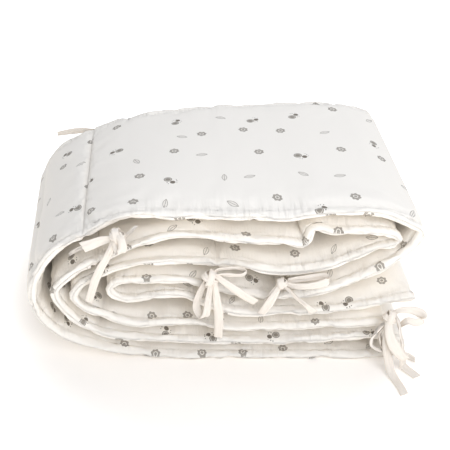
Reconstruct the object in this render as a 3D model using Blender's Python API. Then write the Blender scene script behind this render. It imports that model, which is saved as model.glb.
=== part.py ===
"""Crib bumper, put away: one long padded cotton strip, folded in half and rolled flat into
eight layers, with the cloth ties that are sewn into its edges.

Metres, +Z up. +X runs along the layers, +Y across the strip's width, away from the side on
which the ties are tied. The origin is on the flat underside, below the middle of the strip.
"""
import math

import bmesh
import bpy
from mathutils import Vector

# Padded strip
STRIP_WIDTH = 0.300
EDGE_HALF = 0.0055        # half the thickness of the rolled edge
CROWN_HALF = 0.0085       # half the thickness of a panel at its crown
CHANNEL_SHARE = 0.40      # what a sewn channel leaves of the thickness
CHANNEL_SPREAD = 0.014    # how far each side of a channel is drawn in
CHANNEL_SPACING = 0.620   # from one sewn channel to the next, nearly
BEND_SHARE = 0.56         # the most that half the thickness takes of a bend's radius

# Half section of the strip, from its long edge to its crown:
# (inset from the edge, share of the rise from no thickness to EDGE_HALF, share on to CROWN_HALF)
HALF_SECTION = (
    (0.0000, 0.40, 0.00),
    (0.0035, 1.00, 0.00),
    (0.0120, 0.88, 0.00),
    (0.0400, 1.00, 0.75),
    (0.1050, 1.00, 1.00),
)

# Heights of each layer's middle surface at seven places along X, layer 1 on top
STATION_X = (-0.165, -0.120, -0.060, 0.010, 0.070, 0.130, 0.185)
LAYER_HEIGHTS = {
    1: (0.215, 0.237, 0.240, 0.239, 0.239, 0.244, 0.241),
    2: (0.168, 0.190, 0.209, 0.204, 0.201, 0.217, 0.216),
    3: (0.142, 0.163, 0.170, 0.165, 0.156, 0.165, 0.191),
    4: (None, 0.138, 0.139, 0.122, 0.113, 0.127, 0.155),
    5: (None, 0.108, 0.115, 0.088, 0.087, 0.089, 0.099),
    6: (0.084, 0.067, 0.067, 0.059, 0.059, 0.062, 0.066),
    7: (0.050, 0.040, 0.035, 0.034, 0.034, 0.038, 0.041),
    8: (0.024, 0.013, 0.007, 0.006, 0.006, 0.006, 0.007),
}
KINKS = {2: ((0.0965, 0.1985), (0.1065, 0.2205))}    # a layer pushed into a step: foot and head
LAYER_ORDER = (5, 4, 1, 8, 7, 2, 3, 6)    # the layers in the order of the strip's length

# Folds between two layers, in the same order:
# (place and height of the tip, fullness of its upper and lower quarters)
FOLDS = (
    (-0.146, 0.124, 0.72, 0.72),
    (0.236, 0.213, 0.58, 0.60),
    (-0.246, 0.104, 0.64, 0.66),
    (0.238, 0.025, 0.74, 0.74),
    (-0.216, 0.118, 0.56, 0.62),
    (0.211, 0.204, 0.66, 0.66),
    (-0.192, 0.112, 0.62, 0.62),
)
START_END = (0.242, 0.113)    # free end of layer 5
LAST_END = (0.216, 0.068)     # free end of layer 6

# How the roll's back face differs from its front face
BACK_SHIFT = -0.022           # the whole roll leans to the left
BACK_REACH = -0.016           # the left folds bulge further
DROP_X = (*STATION_X, 0.236)
BACK_DROP = (0.12, 0.13, 0.09, 0.05, 0.04, 0.05, 0.05, 0.01)    # share of the height lost

# How it lies on the surface
PRESSED_FLAT = 0.0010         # what would be lower than this lies flat on the surface

# Steps along the strip
CURVE_STEPS = 24              # curve steps from one table point to the next
ROUTE_STEP = 0.002            # step of the route that the sections are picked from
BEND_REACH = 5                # route steps each way over which a bend is measured
LONG_STEP = 0.031             # length of a straight step
TURN_STEP = math.radians(21.5)  # turn of a step round a fold
CHANNEL_STEP = 0.013          # step beside a sewn channel

# Ties of flat cotton tape
TAPE_WIDTH = 0.0100
TAPE_THICK = 0.0014
TAPE_LOWEST = 0.0020      # height of a tape's middle where it lies on the ground
TAPE_STEPS = 4
ACROSS_X = (1.0, 0.0, 0.0)
ACROSS_Z = (0.0, 0.0, 1.0)

# Knot: (centre, radii). A tie with no knot only has its run of tape.
KNOTS = {
    "tie_left": ((-0.127, -0.160, 0.222), (0.0065, 0.0050, 0.0080)),
    "tie_middle": ((-0.016, -0.161, 0.160), (0.0065, 0.0055, 0.0085)),
    "tie_inner": ((0.071, -0.160, 0.147), (0.0055, 0.0045, 0.0055)),
    "tie_right": ((0.214, -0.160, 0.090), (0.0070, 0.0050, 0.0075)),
}

# Runs of tape: (tie, direction across the tape, points along its middle)
TAPE_RUNS = (
    ("tie_left", ACROSS_X, ((-0.127, -0.162, 0.222), (-0.121, -0.168, 0.216),
                            (-0.125, -0.171, 0.206), (-0.130, -0.164, 0.216))),
    ("tie_left", ACROSS_X, ((-0.129, -0.160, 0.219), (-0.143, -0.163, 0.190),
                            (-0.158, -0.160, 0.154), (-0.171, -0.158, 0.116))),
    ("tie_left", ACROSS_Z, ((-0.125, -0.160, 0.222), (-0.112, -0.157, 0.228),
                            (-0.101, -0.154, 0.231))),
    ("tie_middle", ACROSS_X, ((-0.018, -0.161, 0.156), (-0.024, -0.166, 0.125),
                              (-0.030, -0.166, 0.100), (-0.032, -0.158, 0.122),
                              (-0.020, -0.158, 0.156))),
    ("tie_middle", ACROSS_X, ((-0.014, -0.162, 0.156), (-0.010, -0.167, 0.110),
                              (-0.009, -0.164, 0.058))),
    ("tie_middle", ACROSS_Z, ((-0.014, -0.164, 0.160), (0.012, -0.167, 0.143),
                              (0.039, -0.161, 0.115))),
    ("tie_middle", ACROSS_Z, ((-0.014, -0.160, 0.164), (0.002, -0.160, 0.172),
                              (0.022, -0.162, 0.171), (0.004, -0.166, 0.167),
                              (-0.013, -0.164, 0.163))),
    ("tie_inner", ACROSS_X, ((0.070, -0.161, 0.145), (0.060, -0.166, 0.126),
                             (0.047, -0.161, 0.098))),
    ("tie_inner", ACROSS_Z, ((0.072, -0.160, 0.147), (0.098, -0.160, 0.144),
                             (0.124, -0.157, 0.149), (0.102, -0.155, 0.151),
                             (0.073, -0.158, 0.149))),
    ("tie_inner", ACROSS_X, ((0.073, -0.162, 0.145), (0.086, -0.166, 0.133),
                             (0.113, -0.161, 0.101))),
    ("tie_right", ACROSS_X, ((0.211, -0.162, 0.088), (0.196, -0.167, 0.070),
                             (0.190, -0.170, 0.052), (0.203, -0.168, 0.042),
                             (0.208, -0.163, 0.086))),
    ("tie_right", ACROSS_X, ((0.212, -0.164, 0.088), (0.212, -0.174, 0.068),
                             (0.226, -0.177, 0.040), (0.240, -0.170, 0.010),
                             (0.247, -0.176, 0.0012), (0.255, -0.184, 0.0012))),
    ("tie_right", ACROSS_X, ((0.211, -0.164, 0.086), (0.211, -0.170, 0.045),
                             (0.220, -0.178, 0.012), (0.227, -0.190, 0.0012),
                             (0.232, -0.213, 0.0012))),
    ("tie_right", ACROSS_Z, ((0.214, -0.158, 0.093), (0.232, -0.159, 0.098),
                             (0.249, -0.163, 0.095), (0.243, -0.168, 0.089),
                             (0.216, -0.163, 0.088))),
    ("tie_under_top", ACROSS_Z, ((-0.190, -0.1545, 0.187), (-0.172, -0.158, 0.202),
                                 (-0.147, -0.158, 0.213))),
    ("tie_back", ACROSS_Z, ((-0.196, 0.1530, 0.183), (-0.216, 0.160, 0.180),
                            (-0.240, 0.170, 0.172), (-0.264, 0.180, 0.162))),
)


def spline(points, steps):
    """A smooth curve through the points, as a list with `steps` short runs between each two."""
    padded = [2 * points[0] - points[1], *points, 2 * points[-1] - points[-2]]
    curve = []
    for before, start, end, after in zip(padded, padded[1:], padded[2:], padded[3:]):
        span = (end - start).length
        start_slope = span * (end - before) / ((end - start).length + (start - before).length)
        end_slope = span * (after - start) / ((after - end).length + (end - start).length)
        for step in range(steps):
            t = step / steps
            curve.append(
                (2 * t**3 - 3 * t**2 + 1) * start + (t**3 - 2 * t**2 + t) * start_slope
                + (3 * t**2 - 2 * t**3) * end + (t**3 - t**2) * end_slope
            )
    curve.append(points[-1].copy())
    return curve


def layer_points(layer, rightwards):
    """The layer's table points, in the direction in which the strip passes through it."""
    heights = LAYER_HEIGHTS[layer]
    places = [(x, z) for x, z in zip(STATION_X, heights) if z is not None]
    points = [Vector(place) for place in sorted([*places, *KINKS.get(layer, ())])]
    return points if rightwards else points[::-1]


def fold_points(fold, arriving, leaving):
    """A haunch, the tip and a haunch, between the last point of one layer and the next one's."""
    tip_x, tip_z, upper_fullness, lower_fullness = fold
    tip = Vector((tip_x, tip_z))
    points = [tip]
    for layer_end in (arriving, leaving):
        fullness = upper_fullness if layer_end.y > tip_z else lower_fullness
        haunch = Vector((
            layer_end.x + (tip.x - layer_end.x) * fullness,
            tip.y + (layer_end.y - tip.y) * fullness,
        ))
        points.insert(0 if layer_end is arriving else 2, haunch)
    return points


def even_steps(curve, step):
    """The same curve with its points a fixed step apart, the last step being a little longer."""
    points = [curve[0]]
    for target in curve[1:]:
        while (target - points[-1]).length >= step:
            points.append(points[-1] + (target - points[-1]).normalized() * step)
    points[-1] = curve[-1].copy()
    return points


def strip_route():
    """The strip's middle surface in the X-Z plane, from one free end to the other."""
    runs = [layer_points(layer, order % 2 == 1) for order, layer in enumerate(LAYER_ORDER)]
    points = [Vector(START_END), *runs[0]]
    for fold, run in zip(FOLDS, runs[1:]):
        points += fold_points(fold, points[-1], run[0])
        points += run
    points.append(Vector(LAST_END))
    return even_steps(spline(points, CURVE_STEPS), ROUTE_STEP)


def channel_places(length):
    """Lengths along the strip at which it is sewn through, all but its two ends."""
    count = round(length / CHANNEL_SPACING)
    return [length * number / count for number in range(1, count)]


def route_sections(route):
    """Points picked from the route, closer together round folds and beside sewn channels.

    Each is (point, normal, share left by the channels, share of the crown, half thickness limit).
    """
    last = len(route) - 1
    channels = channel_places(last * ROUTE_STEP)
    sections = []
    effort = 1.0
    for i, point in enumerate(route):
        arriving = point - route[max(i - BEND_REACH, 0)]
        leaving = route[min(i + BEND_REACH, last)] - point
        inside = BEND_REACH <= i <= last - BEND_REACH
        turn = abs(arriving.angle_signed(leaving)) / BEND_REACH if inside else 0.0
        gap = min(abs(i * ROUTE_STEP - channel) for channel in channels)
        close = CHANNEL_STEP if gap < 2 * CHANNEL_SPREAD else LONG_STEP
        effort += max(ROUTE_STEP / close, ROUTE_STEP / LONG_STEP + turn / TURN_STEP)
        if effort >= 1.0 or i == last:
            tangent = (arriving + leaving).normalized()
            drawn = (1 - CHANNEL_SHARE) * math.exp(-((gap / CHANNEL_SPREAD) ** 2))
            from_end = min(i, last - i) * ROUTE_STEP
            crown = min(1.0, from_end / HALF_SECTION[-2][0])
            limit = BEND_SHARE * ROUTE_STEP / max(turn, 1e-6)
            sections.append((point, Vector((-tangent.y, tangent.x)), 1 - drawn, crown, limit))
            effort = 0.0
    return sections


def interpolate(x, places, values):
    """The value at x in a table, straight between its places and level beyond them."""
    if x <= places[0]:
        return values[0]
    for left, right, low, high in zip(places, places[1:], values, values[1:]):
        if x <= right:
            return low + (high - low) * (x - left) / (right - left)
    return values[-1]


def settle(x, y, z):
    """Lean and flatten the roll towards its back face, and rest it on the ground."""
    back = (y + STRIP_WIDTH / 2) / STRIP_WIDTH
    leftness = min(1.0, max(0.0, x / FOLDS[2][0]))
    drop = interpolate(x, DROP_X, BACK_DROP)
    height = z * (1 - drop * back)
    return (
        x + back * (BACK_SHIFT + BACK_REACH * leftness**2),
        y,
        height if height > PRESSED_FLAT else 0.0,
    )


def section_columns():
    """The columns across the strip: (y, half thickness at the edge's share, share of crown)."""
    near = [(inset - STRIP_WIDTH / 2, edge, crown) for inset, edge, crown in HALF_SECTION]
    far = [(-y, edge, crown) for y, edge, crown in reversed(near)]
    return near + far


def build_bumper():
    mesh = bmesh.new()
    columns = section_columns()
    rings = []
    for point, normal, share, crown_share, limit in route_sections(strip_route()):
        ring = []
        for side in (1, -1):
            for y, edge, crown in columns if side == 1 else reversed(columns):
                rise = EDGE_HALF * edge + (CROWN_HALF - EDGE_HALF) * crown * crown_share
                at = point + normal * (side * min(rise * share, limit * edge))
                ring.append(mesh.verts.new(settle(at.x, y, at.y)))
        rings.append(ring)
    size = len(rings[0])
    for ring, following in zip(rings, rings[1:]):
        for i in range(size):
            j = (i + 1) % size
            mesh.faces.new((ring[i], ring[j], following[j], following[i]))
    for ring in (rings[0], rings[-1]):
        for i in range(len(columns) - 1):
            mesh.faces.new((ring[i], ring[i + 1], ring[size - 2 - i], ring[size - 1 - i]))
    bmesh.ops.recalc_face_normals(mesh, faces=mesh.faces)
    return finish_mesh("bumper", mesh)


def tape_mesh(across, points):
    """A closed flat tape along a smooth curve through the points."""
    mesh = bmesh.new()
    curve = spline([Vector(point) for point in points], TAPE_STEPS)
    for point in curve:
        point.z = max(point.z, TAPE_LOWEST)
    rings = []
    for i, point in enumerate(curve):
        along = (curve[min(i + 1, len(curve) - 1)] - curve[max(i - 1, 0)]).normalized()
        wide = Vector(across)
        wide = (wide - along * wide.dot(along)).normalized() * TAPE_WIDTH / 2
        thick = along.cross(wide).normalized() * TAPE_THICK / 2
        corners = (wide + thick, -wide + thick, -wide - thick, wide - thick)
        rings.append([mesh.verts.new(point + corner) for corner in corners])
    for ring, following in zip(rings, rings[1:]):
        for i in range(4):
            j = (i + 1) % 4
            mesh.faces.new((ring[i], ring[j], following[j], following[i]))
    mesh.faces.new(rings[0])
    mesh.faces.new(rings[-1])
    bmesh.ops.recalc_face_normals(mesh, faces=mesh.faces)
    return mesh


def build_tie(name):
    """One tie: its knot, if it has one, joined with each of its runs of tape."""
    runs = [(across, points) for tie, across, points in TAPE_RUNS if tie == name]
    if name not in KNOTS:
        return finish_mesh(name, tape_mesh(*runs[0]))
    centre, radii = KNOTS[name]
    mesh = bmesh.new()
    bmesh.ops.create_icosphere(mesh, subdivisions=1, radius=1.0)
    bmesh.ops.scale(mesh, vec=radii, verts=mesh.verts)
    bmesh.ops.translate(mesh, vec=centre, verts=mesh.verts)
    knot = finish_mesh(name, mesh)
    for number, (across, points) in enumerate(runs, start=1):
        run = finish_mesh(f"{name}_run_{number}", tape_mesh(across, points))
        run.hide_render = True
        run.display_type = "WIRE"
        join = knot.modifiers.new(f"join run {number}", "BOOLEAN")
        join.operation = "UNION"
        join.object = run
    return knot


def finish_mesh(name, mesh):
    data = bpy.data.meshes.new(name)
    mesh.to_mesh(data)
    mesh.free()
    part = bpy.data.objects.new(name, data)
    bpy.context.scene.collection.objects.link(part)
    return part


def cotton(name, colour):
    material = bpy.data.materials.new(name)
    material.use_nodes = True
    shader = material.node_tree.nodes["Principled BSDF"]
    shader.inputs["Base Color"].default_value = (*colour, 1.0)
    shader.inputs["Roughness"].default_value = 0.9
    shader.inputs["Metallic"].default_value = 0.0
    return material


def main():
    for old in list(bpy.data.objects):
        bpy.data.objects.remove(old, do_unlink=True)
    printed_cotton = cotton("printed cotton", (0.86, 0.84, 0.79))
    tape_cotton = cotton("cotton tape", (0.88, 0.86, 0.81))
    build_bumper().data.materials.append(printed_cotton)
    for name in dict.fromkeys(tie for tie, _, _ in TAPE_RUNS):
        build_tie(name).data.materials.append(tape_cotton)


main()
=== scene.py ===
"""The looks of a folded crib bumper: a padded strip of printed cotton, rolled flat into eight
layers, with its ties of cotton tape.

Metres, +Z up, in the frame of the part. +X runs along the layers and +Y across the strip.
"""

import math

import bpy
import numpy as np
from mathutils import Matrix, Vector, noise


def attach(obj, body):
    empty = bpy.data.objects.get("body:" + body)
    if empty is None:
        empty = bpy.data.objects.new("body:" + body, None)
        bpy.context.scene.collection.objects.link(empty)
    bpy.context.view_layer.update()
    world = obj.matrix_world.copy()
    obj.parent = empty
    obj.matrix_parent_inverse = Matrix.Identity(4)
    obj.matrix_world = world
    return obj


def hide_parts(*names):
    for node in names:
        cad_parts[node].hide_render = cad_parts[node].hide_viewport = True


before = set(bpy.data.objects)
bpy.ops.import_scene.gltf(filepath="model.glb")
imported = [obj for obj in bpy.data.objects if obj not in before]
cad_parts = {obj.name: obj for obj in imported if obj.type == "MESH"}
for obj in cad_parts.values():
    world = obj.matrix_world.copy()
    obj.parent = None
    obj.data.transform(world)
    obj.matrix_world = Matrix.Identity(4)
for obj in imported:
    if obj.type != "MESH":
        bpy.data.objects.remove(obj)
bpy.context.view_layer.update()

# ---------------------------------------------------------------------------------------------
# Sizes of the strip and its roll, the same as the part's
STRIP_WIDTH = 0.300
EDGE_HALF = 0.0055        # half the thickness of the rolled edge
CROWN_HALF = 0.0088       # half the thickness of a panel at its crown
CHANNEL_SPACING = 0.620   # from one sewn channel to the next, nearly
BEND_SHARE = 0.56         # the most that half the thickness takes of a bend's radius

STATION_X = (-0.165, -0.120, -0.060, 0.010, 0.070, 0.130, 0.185)
LAYER_HEIGHTS = {
    1: (0.215, 0.237, 0.240, 0.239, 0.239, 0.244, 0.241),
    2: (0.168, 0.190, 0.209, 0.204, 0.201, 0.217, 0.216),
    3: (0.142, 0.163, 0.170, 0.165, 0.156, 0.165, 0.191),
    4: (None, 0.138, 0.139, 0.122, 0.113, 0.127, 0.155),
    5: (None, 0.108, 0.115, 0.088, 0.087, 0.089, 0.099),
    6: (0.084, 0.067, 0.067, 0.059, 0.059, 0.062, 0.066),
    7: (0.050, 0.040, 0.035, 0.034, 0.034, 0.038, 0.041),
    8: (0.024, 0.013, 0.007, 0.006, 0.006, 0.006, 0.007),
}
KINKS = {2: ((0.0965, 0.1985), (0.1065, 0.2205))}    # a layer pushed into a step: foot and head
LAYER_ORDER = (5, 4, 1, 8, 7, 2, 3, 6)    # the layers in the order of the strip's length

# Folds in the same order: (place and height of the tip, fullness of its upper, lower quarters)
FOLDS = (
    (-0.146, 0.124, 0.72, 0.72),
    (0.236, 0.213, 0.58, 0.60),
    (-0.246, 0.104, 0.64, 0.66),
    (0.238, 0.025, 0.74, 0.74),
    (-0.216, 0.118, 0.56, 0.62),
    (0.211, 0.204, 0.66, 0.66),
    (-0.192, 0.112, 0.62, 0.62),
)
START_END = (0.242, 0.113)    # free end of layer 5
LAST_END = (0.216, 0.068)     # free end of layer 6

BACK_SHIFT = -0.022           # the whole roll leans to the left
BACK_REACH = -0.016           # the left folds bulge further
DROP_X = (*STATION_X, 0.236)
BACK_DROP = (0.12, 0.13, 0.09, 0.05, 0.04, 0.05, 0.05, 0.01)    # share of the height lost

# ---------------------------------------------------------------------------------------------
# How finely the cloth is meshed
CURVE_STEPS = 24              # curve steps from one table point to the next
ROUTE_STEP = 0.002            # step of the route that the rings are picked from
BEND_REACH = 5                # route steps each way over which a bend is measured
RING_STEP = 0.0057            # length of one mesh step along the strip
PANEL_STEP = 0.0058           # and across it
CHANNEL_RINGS = (0.0012, 0.0026, 0.0044, 0.0070, 0.0105)    # rings each side of a channel
TIP_STEPS = 4                 # steps round each quarter of the rolled edge
# Columns of the mesh beside the topstitch, which the fourth of them follows
HEM_INSETS = (0.0075, 0.0093, 0.0103, 0.0110, 0.0117, 0.0130, 0.0155, 0.0190)

# Sewing
STITCH_INSET = 0.0110         # topstitch from the edge
STITCH_HALF = 0.0041          # half the thickness under the topstitch
STITCH_SPREAD = 0.0016        # how far each side of the topstitch the edge is drawn in
CROWN_RISE = 0.020            # how soon a panel swells behind the topstitch
CHANNEL_HALF_SHARE = 0.10     # share of the thickness left in a channel's bottom
CHANNEL_RISE = 0.0055         # how soon a panel swells beside a channel
CHANNEL_SPREAD = 0.004        # how far each side of a channel the stitches hold the cloth
CHANNEL_EDGE_DROP = 0.55      # share of its thickness that the rolled edge loses at a channel
CHANNEL_EDGE_SPREAD = 0.005   # and how far each side of the channel
END_HALF_SHARE = 0.55         # share of the thickness at the strip's free ends
END_RISE = 0.050              # how far from them it reaches its full thickness

# Cloth that buckles over its padding
PADDING_HOLD = 0.05           # how firmly the padding holds the cloth, next to a stitch's 1
CLOTH_EASE = 0.035            # how much larger the cloth is than its padding
BUCKLE_FRAMES = 14
BUCKLE_LIMIT = 0.0042         # the most that a point moves
BUCKLE_REACH = 0.030          # how far from a seam the buckles are felt
BUCKLE_INSIDE = 0.22          # and the share of them left inside a panel

# Soft creases across single panels: (distance along the strip, share of thickness lost, spread)
CREASES = (
    (0.180, 0.45, 0.007),
    (0.345, 0.60, 0.008),
    (0.420, 0.40, 0.007),
    (0.800, 0.30, 0.009),
    (1.345, 0.45, 0.008),
    (1.440, 0.55, 0.007),
    (1.530, 0.60, 0.008),
    (1.700, 0.35, 0.010),
    (2.080, 0.35, 0.008),
    (2.240, 0.50, 0.007),
    (2.335, 0.60, 0.007),
    (2.420, 0.50, 0.007),
    (2.935, 0.40, 0.008),
    (3.300, 0.45, 0.008),
    (3.385, 0.60, 0.007),
    (3.460, 0.50, 0.007),
)

# Ties of cotton tape
TAPE_WIDTH = 0.0108
TAPE_THICK = 0.0009
TAPE_STEP = 0.0016            # length of one mesh step along a tape
TAPE_COLUMNS = 9              # points across a tape
TIE_CLEAR = 0.0004            # how far a tape stays above the surface
TAPE_CUP = 0.0013             # rise of a tape's middle above its edges
TAPE_SWAY = 0.0012            # how much that changes along it
TAPE_FOLD = 0.0026            # depth of its lengthwise folds where it is gathered
TAPE_CREASE = 0.0012          # depth of the one crease along its middle
TAPE_SLANT = 0.0012           # how far its cut end slants

# The ties' knots in millimetres: (centre, half its depth and height, tilt of the band round it
# in degrees)
KNOTS = {
    "tie_left": ((-127, -161, 221), (6.0, 10.0), 12),
    "tie_middle": ((-18, -162, 157), (6.5, 12.0), -18),
    "tie_inner": ((70, -161, 148), (5.0, 6.5), 20),
    "tie_right": ((211, -161, 90), (6.0, 10.5), -10),
}

# Runs of tape: (direction across it, its share of the full width at start, middle and end,
# points along its middle in millimetres)
TIE_RUNS = {
    "tie_left": (
        ((1, 0.1, 0.2), (0.75, 1.0, 0.8), ((-126, -164, 227), (-121, -170, 221),
                                           (-120, -173, 211), (-124, -172, 205),
                                           (-128, -167, 212), (-128, -162, 222))),
        ((1, 0, 0.3), (0.65, 1.0, 0.9), ((-130, -162, 216), (-141, -165, 192),
                                         (-150, -164, 175), (-159, -162, 154),
                                         (-165, -160, 136), (-172, -158, 114))),
        ((0.2, 0.3, 1), (0.5, 0.35, 0.3), ((-121, -161, 216), (-112, -158, 225),
                                           (-103, -154, 232))),
        ((0.1, 0.3, 1), (0.6, 1.1, 1.3), ((-132, -161, 218), (-147, -160, 213), (-158, -163, 210),
                                           (-170, -164, 206))),
    ),
    "tie_middle": (
        ((1, 0.1, 0.15), (0.55, 1.0, 0.7), ((-17, -164, 153), (-21, -169, 126), (-24, -170, 103),
                                            (-29, -166, 97), (-36, -160, 106), (-31, -158, 130),
                                            (-21, -158, 152))),
        ((1, 0, 0), (0.65, 1.1, 1.0), ((-13, -163, 151), (-10, -167, 125), (-8, -167, 104),
                                        (-8, -165, 80), (-9, -163, 57))),
        ((0.7, -0.2, 0.7), (0.75, 1.25, 1.2), ((-13, -165, 164), (0, -168, 155), (12, -167, 143),
                                             (26, -164, 128), (39, -160, 115))),
        ((0, -0.5, 1), (0.6, 0.7, 0.7), ((-16, -160, 161), (-9, -161, 170), (0, -162, 173),
                                          (20, -162, 172), (26, -164, 170), (21, -167, 166),
                                          (0, -167, 166), (-13, -165, 162))),
    ),
    "tie_inner": (
        ((0.9, 0, -0.4), (0.55, 1.1, 1.0), ((69, -162, 147), (64, -165, 138), (58, -167, 126),
                                            (52, -165, 111), (46, -161, 97))),
        ((0.9, 0.3, -0.4), (0.4, 0.6, 0.6), ((66, -160, 146), (55, -162, 128), (49, -159, 106))),
        ((0, 0.1, 1), (0.6, 1.1, 0.7), ((74, -160, 146), (85, -161, 143), (105, -162, 144),
                                        (122, -161, 148), (128, -158, 151), (122, -155, 153),
                                        (103, -155, 151), (76, -156, 147))),
        ((0.75, 0, 0.66), (0.4, 0.45, 1.0), ((72, -163, 146), (80, -166, 140), (88, -167, 130),
                                             (98, -166, 119), (106, -163, 108), (113, -160, 98))),
    ),
    "tie_right": (
        ((0.3, 1, 0.2), (0.35, 0.35, 0.35), ((206, -161, 82), (197, -164, 72), (190, -169, 63),
                                             (190, -171, 51), (197, -171, 43), (206, -168, 39),
                                             (203, -165, 52), (201, -163, 64), (206, -161, 79))),
        ((0.85, 0.2, 0.45), (0.8, 1.35, 1.0), ((209, -162, 89), (209, -170, 79), (213, -175, 65),
                                               (222, -178, 48), (232, -176, 33), (239, -170, 24))),
        ((1, 0, 0), (0.8, 1.05, 1.05), ((208, -165, 80), (209, -170, 50), (214, -173, 28),
                                      (219, -177, 8), (224, -185, 2), (229, -198, 1.6),
                                      (232, -212, 1.6))),
        ((0.74, 0.67, 0), (0.9, 1.15, 1.15), ((231, -172, 36), (236, -167, 14), (239, -164, 4),
                                            (245, -170, 2), (255, -182, 1.6))),
        ((0.2, 0.3, 1), (0.5, 1.2, 0.6), ((213, -158, 95), (225, -159, 101), (240, -160, 101),
                                           (250, -163, 97), (251, -167, 92), (243, -169, 89),
                                           (233, -167, 90), (225, -163, 79))),
        ((0.3, 1, 0), (0.4, 0.4, 0.4), ((215, -160, 97), (220, -166, 86), (226, -172, 64),
                                        (233, -174, 38))),
        ((0.1, 0.4, 1), (0.6, 0.8, 0.6), ((238, -151, 14), (248, -149, 7), (257, -154, 5))),
    ),
    "tie_under_top": (
        ((0.2, 0.3, 1), (0.9, 0.6, 0.4), ((-147, -158, 213), (-169, -158, 202), (-179, -155, 195),
                                          (-190, -152, 186))),
    ),
    "tie_back": (
        ((0, 0.2, 1), (0.5, 0.85, 0.65), ((-196, 152, 185), (-216, 160, 181), (-239, 170, 173),
                                          (-264, 180, 163))),
    ),
}

# Print: one motif to a cell, and the small dots beside its berries (millimetres)
MOTIF_CELL = 0.056
BERRY_DOTS = (
    (7.6, 3.4, 0.7), (9.4, 0.2, 0.6), (5.6, 5.6, 0.6), (-1.2, -5.6, 0.7), (1.6, -7.4, 0.6),
)
STITCH_LENGTH = 0.0032        # from one stitch hole to the next
STRIP_LENGTH = 3.760          # of the middle surface, so a channel comes each sixth of it
COTTON = "#F8F1E6"            # off-white cotton cloth
TAPE = "#EEE4D7"              # undyed cotton tape
INK_AND_HOLE_SHADE = "#695E4E"               # warm grey printing ink, also painted into the stitch holes as shade


# ---------------------------------------------------------------------------------------------
# The roll's route
def spline(points, steps):
    """A smooth curve through the points, as a list with `steps` short runs between each two."""
    padded = [2 * points[0] - points[1], *points, 2 * points[-1] - points[-2]]
    curve = []
    for before, start, end, after in zip(padded, padded[1:], padded[2:], padded[3:]):
        span = (end - start).length
        start_slope = span * (end - before) / ((end - start).length + (start - before).length)
        end_slope = span * (after - start) / ((after - end).length + (end - start).length)
        for step in range(steps):
            t = step / steps
            curve.append(
                (2 * t**3 - 3 * t**2 + 1) * start + (t**3 - 2 * t**2 + t) * start_slope
                + (3 * t**2 - 2 * t**3) * end + (t**3 - t**2) * end_slope
            )
    curve.append(points[-1].copy())
    return curve


def even_steps(curve, step):
    """The same curve with its points a fixed step apart."""
    points = [curve[0]]
    for target in curve[1:]:
        while (target - points[-1]).length >= step:
            points.append(points[-1] + (target - points[-1]).normalized() * step)
    return points


def layer_points(layer, rightwards):
    """The middle surface of one layer, from left to right or back."""
    heights = LAYER_HEIGHTS[layer]
    places = [(x, z) for x, z in zip(STATION_X, heights) if z is not None]
    points = [Vector(place) for place in sorted([*places, *KINKS.get(layer, ())])]
    return points if rightwards else points[::-1]


def fold_points(fold, arriving, leaving):
    """A haunch, the tip and a haunch, between the last point of one layer and the next one's."""
    tip_x, tip_z, upper_fullness, lower_fullness = fold
    tip = Vector((tip_x, tip_z))
    points = [tip]
    for layer_end in (arriving, leaving):
        fullness = upper_fullness if layer_end.y > tip_z else lower_fullness
        haunch = Vector((
            layer_end.x + (tip.x - layer_end.x) * fullness,
            tip.y + (layer_end.y - tip.y) * fullness,
        ))
        points.insert(0 if layer_end is arriving else 2, haunch)
    return points


def strip_route():
    """The strip's middle surface in the X-Z plane, as an array of points ROUTE_STEP apart."""
    runs = [layer_points(layer, order % 2 == 1) for order, layer in enumerate(LAYER_ORDER)]
    points = [Vector(START_END), *runs[0]]
    for fold, run in zip(FOLDS, runs[1:]):
        points += fold_points(fold, points[-1], run[0])
        points += run
    points.append(Vector(LAST_END))
    return np.array([tuple(p) for p in even_steps(spline(points, CURVE_STEPS), ROUTE_STEP)])


def settle(points):
    """Lean and flatten the roll towards its back face, and rest it on the ground."""
    x, y, z = points.T
    back = (y + STRIP_WIDTH / 2) / STRIP_WIDTH
    leftness = np.clip(x / FOLDS[2][0], 0, 1)
    drop = np.interp(x, DROP_X, BACK_DROP)
    return np.stack((
        x + back * (BACK_SHIFT + BACK_REACH * leftness**2),
        y,
        np.maximum(z * (1 - drop * back), 0.0),
    ), axis=1)


# ---------------------------------------------------------------------------------------------
# The padded strip
def across_insets():
    """Insets from a long edge to the other, with the rolled edge's rounding at each end."""
    tip = [EDGE_HALF * (1 - math.cos(math.pi / 2 * k / TIP_STEPS)) for k in range(TIP_STEPS + 1)]
    inside = STRIP_WIDTH / 2 - HEM_INSETS[-1]
    steps = round(inside / PANEL_STEP)
    panel = [HEM_INSETS[-1] + inside * k / steps for k in range(1, steps + 1)]
    half = [*tip, *HEM_INSETS, *panel]
    return np.array(half + [STRIP_WIDTH - inset for inset in reversed(half[:-1])])


def half_thickness(inset, swell, hem_share):
    """Half the strip's thickness at insets from its nearest edge, for one place along it."""
    tip = np.sqrt(np.clip(1 - (1 - np.minimum(inset, EDGE_HALF) / EDGE_HALF) ** 2, 0, 1))
    stitch = np.exp(-((inset - STITCH_INSET) / STITCH_SPREAD) ** 2)
    hem = EDGE_HALF * tip * hem_share - (EDGE_HALF * hem_share - STITCH_HALF * 0.9) * stitch
    risen = 1 - np.exp(-np.maximum(inset - STITCH_INSET, 0) / CROWN_RISE)
    panel = STITCH_HALF + (CROWN_HALF - STITCH_HALF) * risen * 1.04
    panel = panel * swell + STITCH_HALF * 0.25 * (1 - swell)
    return np.where(inset < STITCH_INSET, np.maximum(hem, 0), panel)


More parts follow.
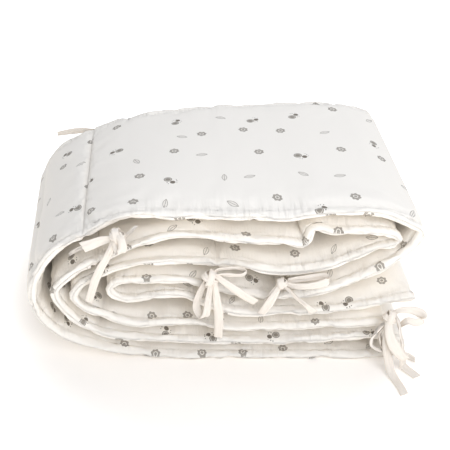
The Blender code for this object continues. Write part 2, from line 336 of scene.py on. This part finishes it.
def ring_places(length, channels):
    """Places along the strip for the mesh's rings: even, and closer beside each channel."""
    steps = round(length / RING_STEP)
    even = [length * step / steps for step in range(steps + 1)]
    clear = CHANNEL_RINGS[-1] + RING_STEP / 2
    places = [s for s in even if np.abs(s - channels).min() > clear]
    for channel in channels:
        places += [channel] + [channel + side * gap for gap in CHANNEL_RINGS for side in (-1, 1)]
    return sorted(places)


def build_strip():
    """The strip as a closed grid, with its length and width as a UV map in metres."""
    route = strip_route()
    last = len(route) - 1
    length = last * ROUTE_STEP
    count = round(length / CHANNEL_SPACING)
    channels = np.array([length * number / count for number in range(1, count)])
    places = ring_places(length, channels)
    insets = across_insets()
    nearest = np.minimum(insets, STRIP_WIDTH - insets)
    y = insets - STRIP_WIDTH / 2
    columns = len(insets)

    rings = []
    maps = []
    for s in places:
        place = s / ROUTE_STEP
        i = min(int(place), last - 1)
        point = route[i] + (route[i + 1] - route[i]) * (place - i)
        low, high = max(i - BEND_REACH, 0), min(i + BEND_REACH, last)
        arriving, leaving = route[i] - route[low], route[high] - route[i]
        tangent = (route[high] - route[low]) / np.linalg.norm(route[high] - route[low])
        normal = np.array((-tangent[1], tangent[0]))
        turn = math.atan2(
            arriving[0] * leaving[1] - arriving[1] * leaving[0], arriving @ leaving
        ) / BEND_REACH if low + BEND_REACH == i == high - BEND_REACH else 0.0
        limit = BEND_SHARE * ROUTE_STEP / max(abs(turn), 1e-6)

        gap = np.abs(s - channels).min()
        swell = CHANNEL_HALF_SHARE + (1 - CHANNEL_HALF_SHARE) * (1 - math.exp(-gap / CHANNEL_RISE))
        for crease, depth, spread in CREASES:
            swell *= 1 - depth * math.exp(-(((s - crease) / spread) ** 2))
        hem_share = 1 - CHANNEL_EDGE_DROP * math.exp(-((gap / CHANNEL_EDGE_SPREAD) ** 2))
        from_end = min(s, length - s)
        end_tip = math.sqrt(max(0.0, 1 - (1 - min(from_end, EDGE_HALF) / EDGE_HALF) ** 2))
        swell *= min(1.0, END_HALF_SHARE + from_end / END_RISE)
        half = half_thickness(nearest, swell, hem_share) * max(end_tip, 0.02)
        half = np.minimum(half, limit * half_thickness(nearest, 1.0, 1.0) / CROWN_HALF + 0.0004)
        for side in (1, -1):
            order = slice(None) if side == 1 else slice(columns - 2, 0, -1)
            flat = np.full(columns, s)
            rings.append(np.stack((
                point[0] + normal[0] * half * side, y, point[1] + normal[1] * half * side,
            ), axis=1)[order])
            maps.append(np.stack((flat, insets if side == 1 else 2 * STRIP_WIDTH - insets),
                                 axis=1)[order])
    ring_size = 2 * columns - 2
    points = settle(np.concatenate(rings))
    return points, np.concatenate(maps), len(places) - 1, ring_size, columns, channels


def grid_faces(steps, ring_size, columns):
    """Quads between the rings, and across the two free ends."""
    faces = []
    for ring in range(steps):
        a = ring * ring_size
        for i in range(ring_size):
            j = (i + 1) % ring_size
            faces.append((a + j, a + i, a + ring_size + i, a + ring_size + j))
    for ring, turned in ((0, False), (steps, True)):
        a = ring * ring_size
        for i in range(columns - 1):
            upper = [a + i, a + i + 1]
            lower = [a + (ring_size - i - 1) % ring_size, a + (ring_size - i) % ring_size]
            corners = list(dict.fromkeys(upper + lower))
            faces.append(tuple(reversed(corners)) if turned else tuple(corners))
    return faces


def mesh_object(name, points, faces):
    """An object at the origin with this mesh."""
    data = bpy.data.meshes.new(name)
    data.from_pydata([tuple(p) for p in points], [], faces)
    data.validate()
    piece = bpy.data.objects.new(name, data)
    bpy.context.scene.collection.objects.link(piece)
    return piece


def make_bumper():
    """The padded strip, with its cloth buckled beside the stitching."""
    points, flat, steps, ring_size, columns, channels = build_strip()
    faces = grid_faces(steps, ring_size, columns)
    piece = mesh_object("bumper_strip", points, faces)
    add_cloth_map(piece.data, flat)
    buckle(piece, flat, channels)
    return piece


def buckle(piece, flat, channels):
    """Let the cloth, which is a little larger than its padding, buckle between its stitches.

    The stitches are held where they are, and the padding holds the rest softly.
    """
    start = np.array([tuple(v.co) for v in piece.data.vertices])
    across = flat[:, 1] % STRIP_WIDTH
    to_stitch = np.abs(np.minimum(across, STRIP_WIDTH - across) - STITCH_INSET)
    to_channel = np.abs(flat[:, :1] - channels).min(axis=1)
    near = np.minimum(to_stitch / STITCH_SPREAD, to_channel / CHANNEL_SPREAD)
    hold = PADDING_HOLD + (1 - PADDING_HOLD) * np.exp(-(near**2))
    group = piece.vertex_groups.new(name="hold")
    for level in range(1, 21):
        chosen = np.nonzero(np.ceil(hold * 20).astype(int) == level)[0]
        group.add(chosen.tolist(), level / 20 if level > 1 else PADDING_HOLD, "REPLACE")

    cloth = piece.modifiers.new("cotton over wadding", "CLOTH")
    settings = cloth.settings
    settings.quality = 4
    settings.mass = 0.02
    settings.tension_stiffness = 8.0
    settings.compression_stiffness = 8.0
    settings.shear_stiffness = 4.0
    settings.bending_stiffness = 0.03
    settings.shrink_min = -CLOTH_EASE
    settings.vertex_group_mass = "hold"
    settings.pin_stiffness = 1.0
    settings.use_pressure = True
    settings.uniform_pressure_force = 0.6
    settings.effector_weights.gravity = 0.0
    cloth.collision_settings.use_collision = False
    cloth.collision_settings.use_self_collision = False
    cloth.point_cache.frame_start = 1
    cloth.point_cache.frame_end = BUCKLE_FRAMES
    scene = bpy.context.scene
    for number in range(1, BUCKLE_FRAMES + 1):
        scene.frame_set(number)
    graph = bpy.context.evaluated_depsgraph_get()
    buckled = piece.evaluated_get(graph).to_mesh()
    end = np.array([tuple(v.co) for v in buckled.vertices])
    piece.evaluated_get(graph).to_mesh_clear()
    piece.modifiers.remove(cloth)
    piece.vertex_groups.remove(group)
    scene.frame_set(1)

    from_seam = np.minimum(to_stitch, to_channel)
    felt = BUCKLE_INSIDE + (1 - BUCKLE_INSIDE) * np.exp(-((from_seam / BUCKLE_REACH) ** 2))
    moved = (end - start) * felt[:, None]
    distance = np.linalg.norm(moved, axis=1)
    limit = BUCKLE_LIMIT * np.tanh(distance / BUCKLE_LIMIT) / np.maximum(distance, 1e-9)
    placed = start + moved * limit[:, None]
    placed[:, 2] = np.where(start[:, 2] <= 0.0, 0.0, np.maximum(placed[:, 2], 0.0))
    piece.data.vertices.foreach_set("co", placed.astype(np.float32).ravel())
    piece.data.update()


# ---------------------------------------------------------------------------------------------
# Ties
def tape_run(across, shares, points, seed):
    """One run of tape as a closed grid: its points, faces, UV map in metres and length.

    Where the tape is narrower than its full width it is gathered into lengthwise folds.
    """
    curve = spline([Vector(point) / 1000 for point in points], CURVE_STEPS)
    middle = np.array([tuple(p) for p in even_steps(curve, TAPE_STEP)])
    along = np.gradient(middle, axis=0)
    along /= np.linalg.norm(along, axis=1)[:, None]
    wide = np.array(across, float) - along * (along @ np.array(across, float))[:, None]
    wide /= np.linalg.norm(wide, axis=1)[:, None]
    out = np.cross(along, wide)
    s = np.arange(len(middle)) * TAPE_STEP
    share = np.interp(s / s[-1], (0.0, 0.5, 1.0), shares)
    gathered = np.clip(1 - share, 0.0, 0.7)
    sway = np.array([noise.noise((a / 0.022, seed, 0.0)) for a in s])
    u = np.linspace(-1, 1, TAPE_COLUMNS)
    folds = np.cos(2.5 * math.pi * u + 1.3 * seed + 3 * sway[:, None])
    profile = (
        (TAPE_CUP + TAPE_SWAY * sway)[:, None] * (1 - u**2)
        + TAPE_FOLD * gathered[:, None] * folds
        - TAPE_CREASE * np.exp(-(((u - 0.15 - 0.5 * sway[:, None]) / 0.28) ** 2))
    )
    slant = TAPE_SLANT * np.exp(-(s[-1] - s) / 0.003) * (1 if seed % 2 else -1)
    reach = share[:, None] * u * TAPE_WIDTH / 2
    centre = middle[:, None, :] + wide[:, None, :] * reach[..., None]
    centre += out[:, None, :] * profile[..., None]
    centre += along[:, None, :] * (slant[:, None] * u)[..., None]
    thick = out[:, None, :] * (TAPE_THICK / 2 * np.sqrt(1.12 - u**2))[None, :, None]
    ring = np.concatenate((centre + thick, (centre - thick)[:, ::-1]), axis=1)
    ring[..., 2] = np.maximum(ring[..., 2], TIE_CLEAR)
    size = 2 * TAPE_COLUMNS
    faces = [
        (a + i, a + (i + 1) % size, a + size + (i + 1) % size, a + size + i)
        for a in range(0, (len(s) - 1) * size, size) for i in range(size)
    ]
    end = (len(s) - 1) * size
    faces += [tuple(reversed(range(size))), tuple(range(end, end + size))]
    flat = np.empty((len(s), size, 2))
    flat[..., 0] = s[:, None]
    flat[..., 1] = np.concatenate((u, u[::-1])) * TAPE_WIDTH / 2
    return ring.reshape(-1, 3), faces, flat.reshape(-1, 2), s[-1]


def knot_runs(centre, halves, tilt):
    """Two bands of gathered tape round a knot, as runs of tape."""
    runs = []
    for lean, size in ((tilt, 1.0), (tilt + 70, 0.86)):
        turn = math.radians(lean)
        across = (math.cos(turn), 0.0, math.sin(turn))
        up = (-math.sin(turn), 0.0, math.cos(turn))
        points = []
        for step in range(10):
            angle = 2 * math.pi * (step / 9 * 1.03 + 0.22)
            reach, lift = math.cos(angle) * halves[0] * size, math.sin(angle) * halves[1] * size
            points.append((
                centre[0] + up[0] * lift, centre[1] + reach, centre[2] + up[2] * lift
            ))
        runs.append((across, (0.85, 0.75, 0.85), points))
    return runs


def make_tie(name):
    """One tie: its runs of tape and the bands of its knot, in one mesh."""
    runs = list(TIE_RUNS[name])
    if name in KNOTS:
        runs += knot_runs(*KNOTS[name])
    points, faces, maps, total = [], [], [], 0.0
    for number, (across, shares, middle) in enumerate(runs):
        run_points, run_faces, run_map, length = tape_run(across, shares, middle, number)
        first = sum(len(part) for part in points)
        points.append(run_points)
        maps.append(run_map)
        faces += [tuple(first + corner for corner in face) for face in run_faces]
        total += length
    piece = mesh_object(f"{name}_tape", np.concatenate(points), faces)
    add_cloth_map(piece.data, np.concatenate(maps))
    return piece, total


def add_cloth_map(data, flat):
    """A UV map in metres, and smooth shading."""
    layer = data.uv_layers.new(name="cloth")
    corner_vertex = np.empty(len(data.loops), dtype=np.int32)
    data.loops.foreach_get("vertex_index", corner_vertex)
    layer.data.foreach_set("uv", flat[corner_vertex].astype(np.float32).ravel())
    data.polygons.foreach_set("use_smooth", [True] * len(data.polygons))


# ---------------------------------------------------------------------------------------------
# Materials
def colour(hex_code):
    """An sRGB hex colour as linear red, green, blue and alpha."""
    channels = [int(hex_code[i:i + 2], 16) / 255 for i in (1, 3, 5)]
    linear = [c / 12.92 if c <= 0.04045 else ((c + 0.055) / 1.055) ** 2.4 for c in channels]
    return (*linear, 1.0)


def add_node(tree, kind, inputs=None, **settings):
    """A node with its settings, and its inputs set to values or linked to other sockets."""
    node = tree.nodes.new(kind)
    for name, value in settings.items():
        setattr(node, name, value)
    for name, value in (inputs or {}).items():
        if isinstance(value, bpy.types.NodeSocket):
            tree.links.new(value, node.inputs[name])
        else:
            node.inputs[name].default_value = value
    return node


def calculator(tree):
    """Returns a function that adds one Math node and gives its output."""
    def calculate(operation, *values):
        inputs = dict(enumerate(values))
        return add_node(tree, "ShaderNodeMath", inputs, operation=operation).outputs[0]
    return calculate


def printed_cotton():
    """Off-white cotton printed in one warm grey ink with scattered flowers, leaves and berries.

    The UV map holds metres along and across the strip, so the sizes here are true.
    """
    material = bpy.data.materials.new("printed cotton")
    material.use_nodes = True
    tree = material.node_tree
    shader = tree.nodes["Principled BSDF"]
    calc = calculator(tree)
    cloth = add_node(tree, "ShaderNodeUVMap", uv_map="cloth").outputs["UV"]
    split = add_node(tree, "ShaderNodeSeparateXYZ", {"Vector": cloth})
    along, across = split.outputs["X"], split.outputs["Y"]

    # One motif to a cell, each turned its own way; places within a cell are in millimetres
    cells = add_node(
        tree, "ShaderNodeTexVoronoi",
        {"Vector": cloth, "Scale": 1 / MOTIF_CELL, "Randomness": 0.62},
        voronoi_dimensions="2D", feature="F1",
    )
    offset = add_node(
        tree, "ShaderNodeVectorMath", {0: cloth, 1: cells.outputs["Position"]}, operation="SUBTRACT"
    ).outputs["Vector"]
    dice = add_node(tree, "ShaderNodeSeparateColor", {"Color": cells.outputs["Color"]})
    turned = add_node(
        tree, "ShaderNodeVectorRotate",
        {"Vector": offset, "Angle": calc("MULTIPLY", dice.outputs["Red"], 2 * math.pi)},
        rotation_type="Z_AXIS",
    ).outputs["Vector"]
    place = add_node(tree, "ShaderNodeSeparateXYZ", {"Vector": turned})
    x = calc("MULTIPLY", place.outputs["X"], 1000.0)
    y = calc("MULTIPLY", place.outputs["Y"], 1000.0)

    def distance_to(a, b):
        dx, dy = calc("SUBTRACT", x, a), calc("SUBTRACT", y, b)
        return calc("SQRT", calc("ADD", calc("MULTIPLY", dx, dx), calc("MULTIPLY", dy, dy)))

    def filled(inside_by, softness=0.25):
        """1 where the measure is above zero, with a soft edge."""
        return add_node(
            tree, "ShaderNodeMapRange",
            {"Value": inside_by, "From Min": -softness, "From Max": softness},
        ).outputs["Result"]

    def disc(a, b, radius):
        return filled(calc("SUBTRACT", radius, distance_to(a, b)))

    def line(off, half_width):
        return filled(calc("SUBTRACT", half_width, calc("ABSOLUTE", off)))

    radius = distance_to(0.0, 0.0)
    angle = calc("ARCTAN2", y, x)
    petal_edge = calc("MULTIPLY_ADD", calc("COSINE", calc("MULTIPLY", angle, 7.0)), 0.60, 6.1)
    petals = filled(calc("SUBTRACT", petal_edge, radius))
    veins = calc("MULTIPLY_ADD", calc("SINE", calc("MULTIPLY", angle, 28.0)), 0.16, 0.70)
    eye = calc("SUBTRACT", 1.0, line(calc("SUBTRACT", radius, 2.5), 0.45))
    flower = calc("MULTIPLY", calc("MULTIPLY", petals, eye), veins)

    bulge = calc("MULTIPLY_ADD", calc("MULTIPLY", x, x), -1 / 19.0, 3.0)
    outline = line(calc("SUBTRACT", calc("ABSOLUTE", y), bulge), 0.34)
    midrib = line(y, 0.30)
    slant = calc("MULTIPLY_ADD", calc("ABSOLUTE", y), -1.5, calc("MULTIPLY", x, 2.2))
    side_veins = line(calc("SINE", slant), 0.25)
    within = filled(bulge)
    inner = calc("MULTIPLY", side_veins, filled(calc("SUBTRACT", bulge, calc("ABSOLUTE", y))))
    leaf = calc("MULTIPLY", calc("MAXIMUM", calc("MAXIMUM", outline, midrib), inner), within)
    leaf = calc("MULTIPLY", leaf, 0.8)

    large = distance_to(-3.8, 1.2)
    rim = calc("SUBTRACT", 1.0, calc("MULTIPLY", line(calc("SUBTRACT", large, 3.6), 0.3), 0.7))
    berries = calc("MULTIPLY", calc("MULTIPLY", disc(-3.8, 1.2, 5.2), rim), 0.80)
    berries = calc("MAXIMUM", berries, calc("MULTIPLY", disc(4.7, -2.0, 3.3), 0.92))
    for dot_x, dot_y, dot_radius in BERRY_DOTS:
        berries = calc("MAXIMUM", berries, disc(dot_x, dot_y, dot_radius))

    kind = dice.outputs["Green"]
    is_leaf = calc("GREATER_THAN", kind, 0.42)
    is_berry = calc("GREATER_THAN", kind, 0.70)
    ink = flower
    for chosen, motif in ((is_leaf, leaf), (is_berry, berries)):
        ink = add_node(
            tree, "ShaderNodeMix", {"Factor": chosen, "A": ink, "B": motif}
        ).outputs["Result"]
    worn = add_node(
        tree, "ShaderNodeTexNoise", {"Vector": cloth, "Scale": 1400.0, "Detail": 2.0},
    ).outputs["Fac"]
    ink = calc("MULTIPLY", ink, calc("MULTIPLY_ADD", worn, 0.5, 0.72))

    # Stitch holes along both edges and down the channels, darkened as painted shade
    from_edge = calc("PINGPONG", across, STRIP_WIDTH / 2)
    gap = calc("ABSOLUTE", calc("SUBTRACT", from_edge, STITCH_INSET))
    to_channel = calc("PINGPONG", along, STRIP_LENGTH / 12)
    seam = calc("MINIMUM", gap, to_channel)
    hole_places = calc("PINGPONG", calc("ADD", along, across), STITCH_LENGTH / 2)
    stitch_hole_shade = calc("MULTIPLY", line(calc("MULTIPLY", seam, 1000.0), 0.4),
                calc("LESS_THAN", hole_places, 0.0004))

    printed = mixed(tree, ink, colour(COTTON), colour(INK_AND_HOLE_SHADE))
    # Painted shade: the stitch holes take a little of the ink colour, as if shaded
    base = mixed(tree, calc("MULTIPLY", stitch_hole_shade, 0.18), printed, colour(INK_AND_HOLE_SHADE))
    tree.links.new(base, shader.inputs["Base Color"])
    set_cotton(shader)

    # Uneven threads, and the cloth gathered a little by its stitches
    threads = []
    for stretch in ((420.0, 2600.0, 1.0), (2600.0, 420.0, 1.0)):
        scaled = add_node(
            tree, "ShaderNodeMapping", {"Vector": cloth, "Scale": stretch}
        ).outputs["Vector"]
        threads.append(add_node(
            tree, "ShaderNodeTexNoise", {"Vector": scaled, "Scale": 1.0, "Detail": 1.0}
        ).outputs["Fac"])
    weave = calc("MULTIPLY", calc("ADD", threads[0], threads[1]), 0.00010)
    gathered = add_node(
        tree, "ShaderNodeMapping", {"Vector": cloth, "Scale": (165.0, 20.0, 1.0)}
    ).outputs["Vector"]
    gathers = add_node(
        tree, "ShaderNodeTexNoise",
        {"Vector": gathered, "Scale": 1.0, "Detail": 2.0, "Roughness": 0.45},
    ).outputs["Fac"]
    beyond = calc("MAXIMUM", calc("SUBTRACT", from_edge, STITCH_INSET), 0.0)
    near_edge = calc("EXPONENT", calc("MULTIPLY", beyond, -1 / 0.014))
    grouped = add_node(
        tree, "ShaderNodeTexNoise", {"Vector": cloth, "Scale": 13.0, "Detail": 0.0}
    ).outputs["Fac"]
    grouped = add_node(
        tree, "ShaderNodeMapRange", {"Value": grouped, "From Min": 0.42, "From Max": 0.62,
                                     "To Min": 0.25, "To Max": 1.0},
    ).outputs["Result"]
    strength = calc("MULTIPLY", calc("MULTIPLY", near_edge, grouped), 0.0044)
    soft_gathers = calc("MULTIPLY", gathers, strength)
    height = calc("ADD", weave, soft_gathers)
    bump = add_node(tree, "ShaderNodeBump", {"Height": height, "Distance": 1.0, "Strength": 1.0})
    tree.links.new(bump.outputs["Normal"], shader.inputs["Normal"])
    return material


def set_cotton(shader):
    """Matt cotton with a trace of fuzz."""
    shader.inputs["Roughness"].default_value = 0.92
    shader.inputs["Sheen Weight"].default_value = 0.08
    shader.inputs["Specular IOR Level"].default_value = 0.25


def cotton_tape():
    """Plain woven tape of the strip's cotton, with fine threads along it."""
    material = bpy.data.materials.new("cotton tape")
    material.use_nodes = True
    tree = material.node_tree
    shader = tree.nodes["Principled BSDF"]
    calc = calculator(tree)
    cloth = add_node(tree, "ShaderNodeUVMap", uv_map="cloth").outputs["UV"]
    scaled = add_node(
        tree, "ShaderNodeMapping", {"Vector": cloth, "Scale": (200.0, 1800.0, 1.0)}
    ).outputs["Vector"]
    threads = add_node(tree, "ShaderNodeTexNoise", {"Vector": scaled, "Scale": 1.0}).outputs["Fac"]
    height = calc("MULTIPLY", threads, 0.0003)
    bump = add_node(tree, "ShaderNodeBump", {"Height": height, "Distance": 1.0, "Strength": 1.0})
    tree.links.new(bump.outputs["Normal"], shader.inputs["Normal"])
    shader.inputs["Base Color"].default_value = colour(TAPE)
    set_cotton(shader)
    return material


def mixed(tree, factor, first, second):
    """One colour over another by a factor. Each is a socket or a linear colour."""
    node = add_node(tree, "ShaderNodeMix", data_type="RGBA")
    sockets = node.inputs[0], node.inputs[6], node.inputs[7]
    for socket, value in zip(sockets, (factor, first, second)):
        if isinstance(value, bpy.types.NodeSocket):
            tree.links.new(value, socket)
        else:
            socket.default_value = value
    return node.outputs[2]


# ---------------------------------------------------------------------------------------------
# Studio
CAMERA_TILT = math.radians(36.5)
CAMERA_DISTANCE = 0.924
CAMERA_AIM = Vector((0.0, -STRIP_WIDTH / 2, 0.229))
LIGHT_AIM = Vector((0.0, 0.0, 0.1))
PAPER = "#F8F2EA"
LIGHT_TINT = "#F1F6FF"


def make_camera():
    """A camera in front of the roll, looking down at it."""
    data = bpy.data.cameras.new("camera")
    data.sensor_width = 36.0
    data.lens = 62.5
    camera = bpy.data.objects.new("camera", data)
    camera.location = CAMERA_AIM + CAMERA_DISTANCE * Vector((
        0.0, -math.cos(CAMERA_TILT), math.sin(CAMERA_TILT)
    ))
    camera.rotation_euler = (math.pi / 2 - CAMERA_TILT, 0.0, 0.0)
    bpy.context.scene.collection.objects.link(camera)
    bpy.context.scene.camera = camera


def add_light(name, place, size, power):
    """A soft, slightly cool area light aimed at the roll."""
    data = bpy.data.lights.new(name, "AREA")
    data.energy = power
    data.size = size
    data.color = colour(LIGHT_TINT)[:3]
    light = bpy.data.objects.new(name, data)
    light.location = place
    light.rotation_euler = (LIGHT_AIM - Vector(place)).to_track_quat("-Z", "Y").to_euler()
    bpy.context.scene.collection.objects.link(light)


def make_studio():
    """White paper below, glowing as painted light (faintly near the roll, strongly away from it),
    an even white dome above and two soft lights from the front right.
    """
    bpy.ops.object.select_all(action="DESELECT")
    bpy.ops.mesh.primitive_plane_add(size=30.0, location=(0.0, 0.0, -0.0004))
    floor = bpy.context.object
    floor.name = "floor"
    paper = bpy.data.materials.new("white backing paper")
    paper.use_nodes = True
    shader = paper.node_tree.nodes["Principled BSDF"]
    shader.inputs["Base Color"].default_value = colour(PAPER)
    shader.inputs["Roughness"].default_value = 0.8
    # Painted light: the paper glows, faintly near the roll and strongly away from it, so that
    # beyond the roll's shadow it turns white
    shader.inputs["Emission Color"].default_value = (1.0, 1.0, 1.0, 1.0)
    tree = paper.node_tree
    place = add_node(tree, "ShaderNodeTexCoord").outputs["Object"]
    away = add_node(tree, "ShaderNodeVectorMath", {0: place}, operation="LENGTH").outputs["Value"]
    painted_floor_glow = add_node(
        tree, "ShaderNodeMapRange",
        {"Value": away, "From Min": 0.26, "From Max": 0.45, "To Min": 0.19, "To Max": 0.90},
        interpolation_type="SMOOTHSTEP",
    )
    tree.links.new(painted_floor_glow.outputs["Result"], shader.inputs["Emission Strength"])
    floor.data.materials.append(paper)
    world = bpy.data.worlds.new("studio")
    world.use_nodes = True
    background = world.node_tree.nodes["Background"]
    background.inputs["Color"].default_value = colour(LIGHT_TINT)
    background.inputs["Strength"].default_value = 0.47
    bpy.context.scene.world = world
    add_light("key", (0.6, -1.45, 1.5), 1.2, 23.5)
    add_light("overhead", (0.2, 0.6, 1.6), 1.5, 8.8)
    bpy.context.scene.view_settings.view_transform = "Standard"


make_camera()
make_studio()
strip = make_bumper()
strip.data.materials.append(printed_cotton())
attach(strip, "root")
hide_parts("bumper")

tape = cotton_tape()
for tie_name in TIE_RUNS:
    tie, tape_length = make_tie(tie_name)
    tie.data.materials.append(tape)
    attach(tie, "root")
    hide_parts(tie_name)
